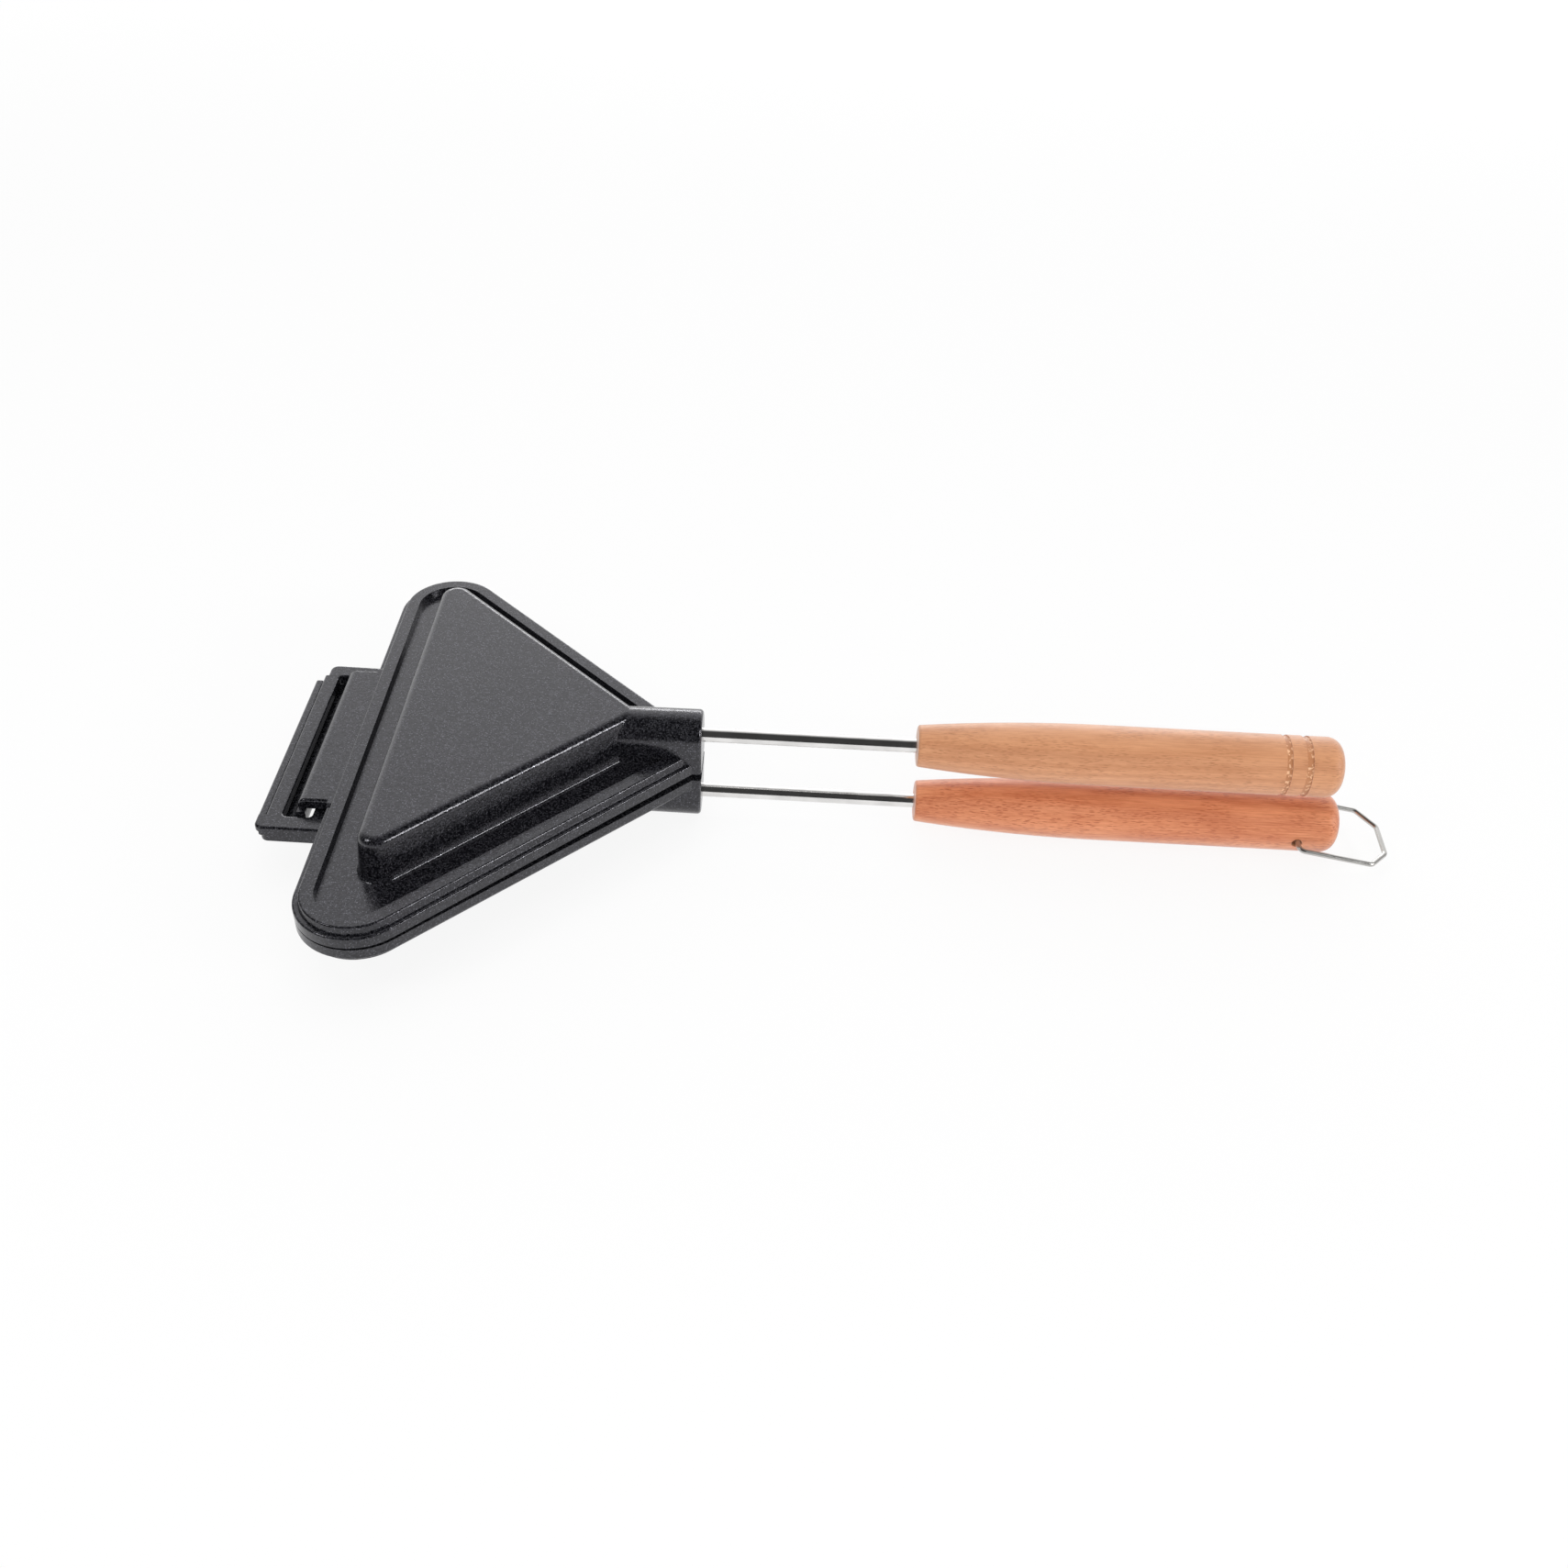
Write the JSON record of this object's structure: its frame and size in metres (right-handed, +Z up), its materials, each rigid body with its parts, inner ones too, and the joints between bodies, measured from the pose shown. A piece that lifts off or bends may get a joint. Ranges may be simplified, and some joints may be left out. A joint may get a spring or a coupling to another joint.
{
  "type": "double-sided sandwich pan",
  "caption": "Hinged pair of triangular domed pan plates on steel rods with turned wooden handles; the plates close round a folded sandwich and the lower handle carries a wire hanging loop.",
  "frame": {"origin": "middle of the lower dome's flat face, which the pan rests on", "axes": "+X from the hinge side towards the handles, +Y along the hinge, +Z up from the rest face"},
  "size_m": [0.3525, 0.18, 0.0423],
  "materials": {
    "coating": "cast aluminium under a dark speckled non-stick coat with a soft sheen",
    "steel": "bright drawn steel rod",
    "light_beech": "turned beech, light tan, thin clear oil",
    "red_beech": "turned steamed beech, orange red, thin clear oil",
    "wire": "bright bent steel wire"
  },
  "bodies": {
    "lower_half": {"lower_plate": "coating", "lower_rod": "steel", "lower_handle": "red_beech"},
    "upper_half": {"upper_plate": "coating", "upper_rod": "steel", "upper_handle": "light_beech"},
    "loop": {"hanging_loop": "wire"}
  },
  "joints": [
    {"name": "plate_hinge", "type": "hinge", "parent": "lower_half", "child": "upper_half", "pos_m": [-0.0612, 0, 0.0165], "axis": [0, -1, 0], "range_deg": [-0.5, 175]},
    {"name": "loop_swing", "type": "hinge", "parent": "lower_half", "child": "loop", "pos_m": [0.25479, 0, 0.01025], "axis": [-0.0006, 0.9976, 0.0698], "range_deg": [-75, 145]}
  ]
}
